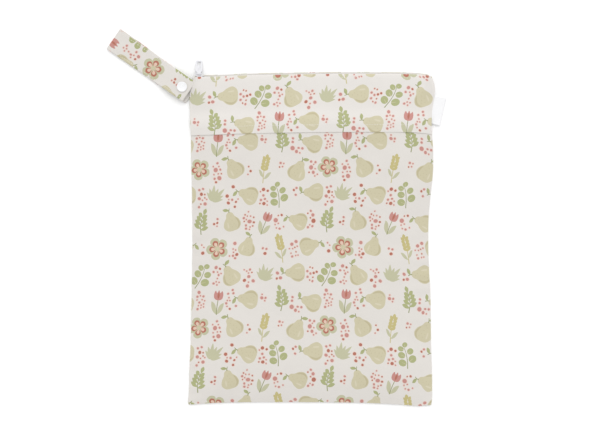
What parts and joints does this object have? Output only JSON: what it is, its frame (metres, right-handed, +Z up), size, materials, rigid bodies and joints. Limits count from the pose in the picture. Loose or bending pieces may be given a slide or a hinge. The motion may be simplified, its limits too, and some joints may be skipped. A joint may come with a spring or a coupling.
{
  "type": "wet bag",
  "caption": "Flat zip-top cloth wet bag with a flapped front pocket, a snap strap at one corner and a bare side label.",
  "frame": {"origin": "centre of the back panel's flat underside, on the surface that the bag lies on", "axes": "+X to the bag's right as seen from the front, +Y from the bottom seam to the zip, +Z up out of the front"},
  "size_m": [0.4116, 0.4556, 0.0124],
  "materials": {
    "bag_cloth": "matt off-white knit with a soft small print",
    "flap_cloth": "matt off-white knit with a soft small print, a little lighter",
    "zip_tape": "white woven tape",
    "zip_chain": "white nylon coil",
    "zip_plastic": "white moulded, satin",
    "snap_plastic": "white moulded, gloss",
    "label_ribbon": "white satin-woven ribbon, bare"
  },
  "bodies": {
    "bag": {"back_panel": "bag_cloth", "front_pocket_panel": "bag_cloth", "front_upper_panel": "flap_cloth", "zip_tape": "zip_tape", "zip_chain": "zip_chain", "zip_slider": "zip_plastic", "strap": "bag_cloth", "snap_cap": "snap_plastic", "snap_back_cap": "snap_plastic", "snap_stud": "snap_plastic", "snap_socket": "snap_plastic", "side_label": "label_ribbon"},
    "pull": {"zip_pull": "zip_plastic"}
  },
  "joints": [
    {"name": "pull_swing", "type": "hinge", "parent": "bag", "child": "pull", "pos_m": [-0.13495, 0.19868, 0.00598], "axis": [1, 0, 0], "range_deg": [0, 120]}
  ]
}
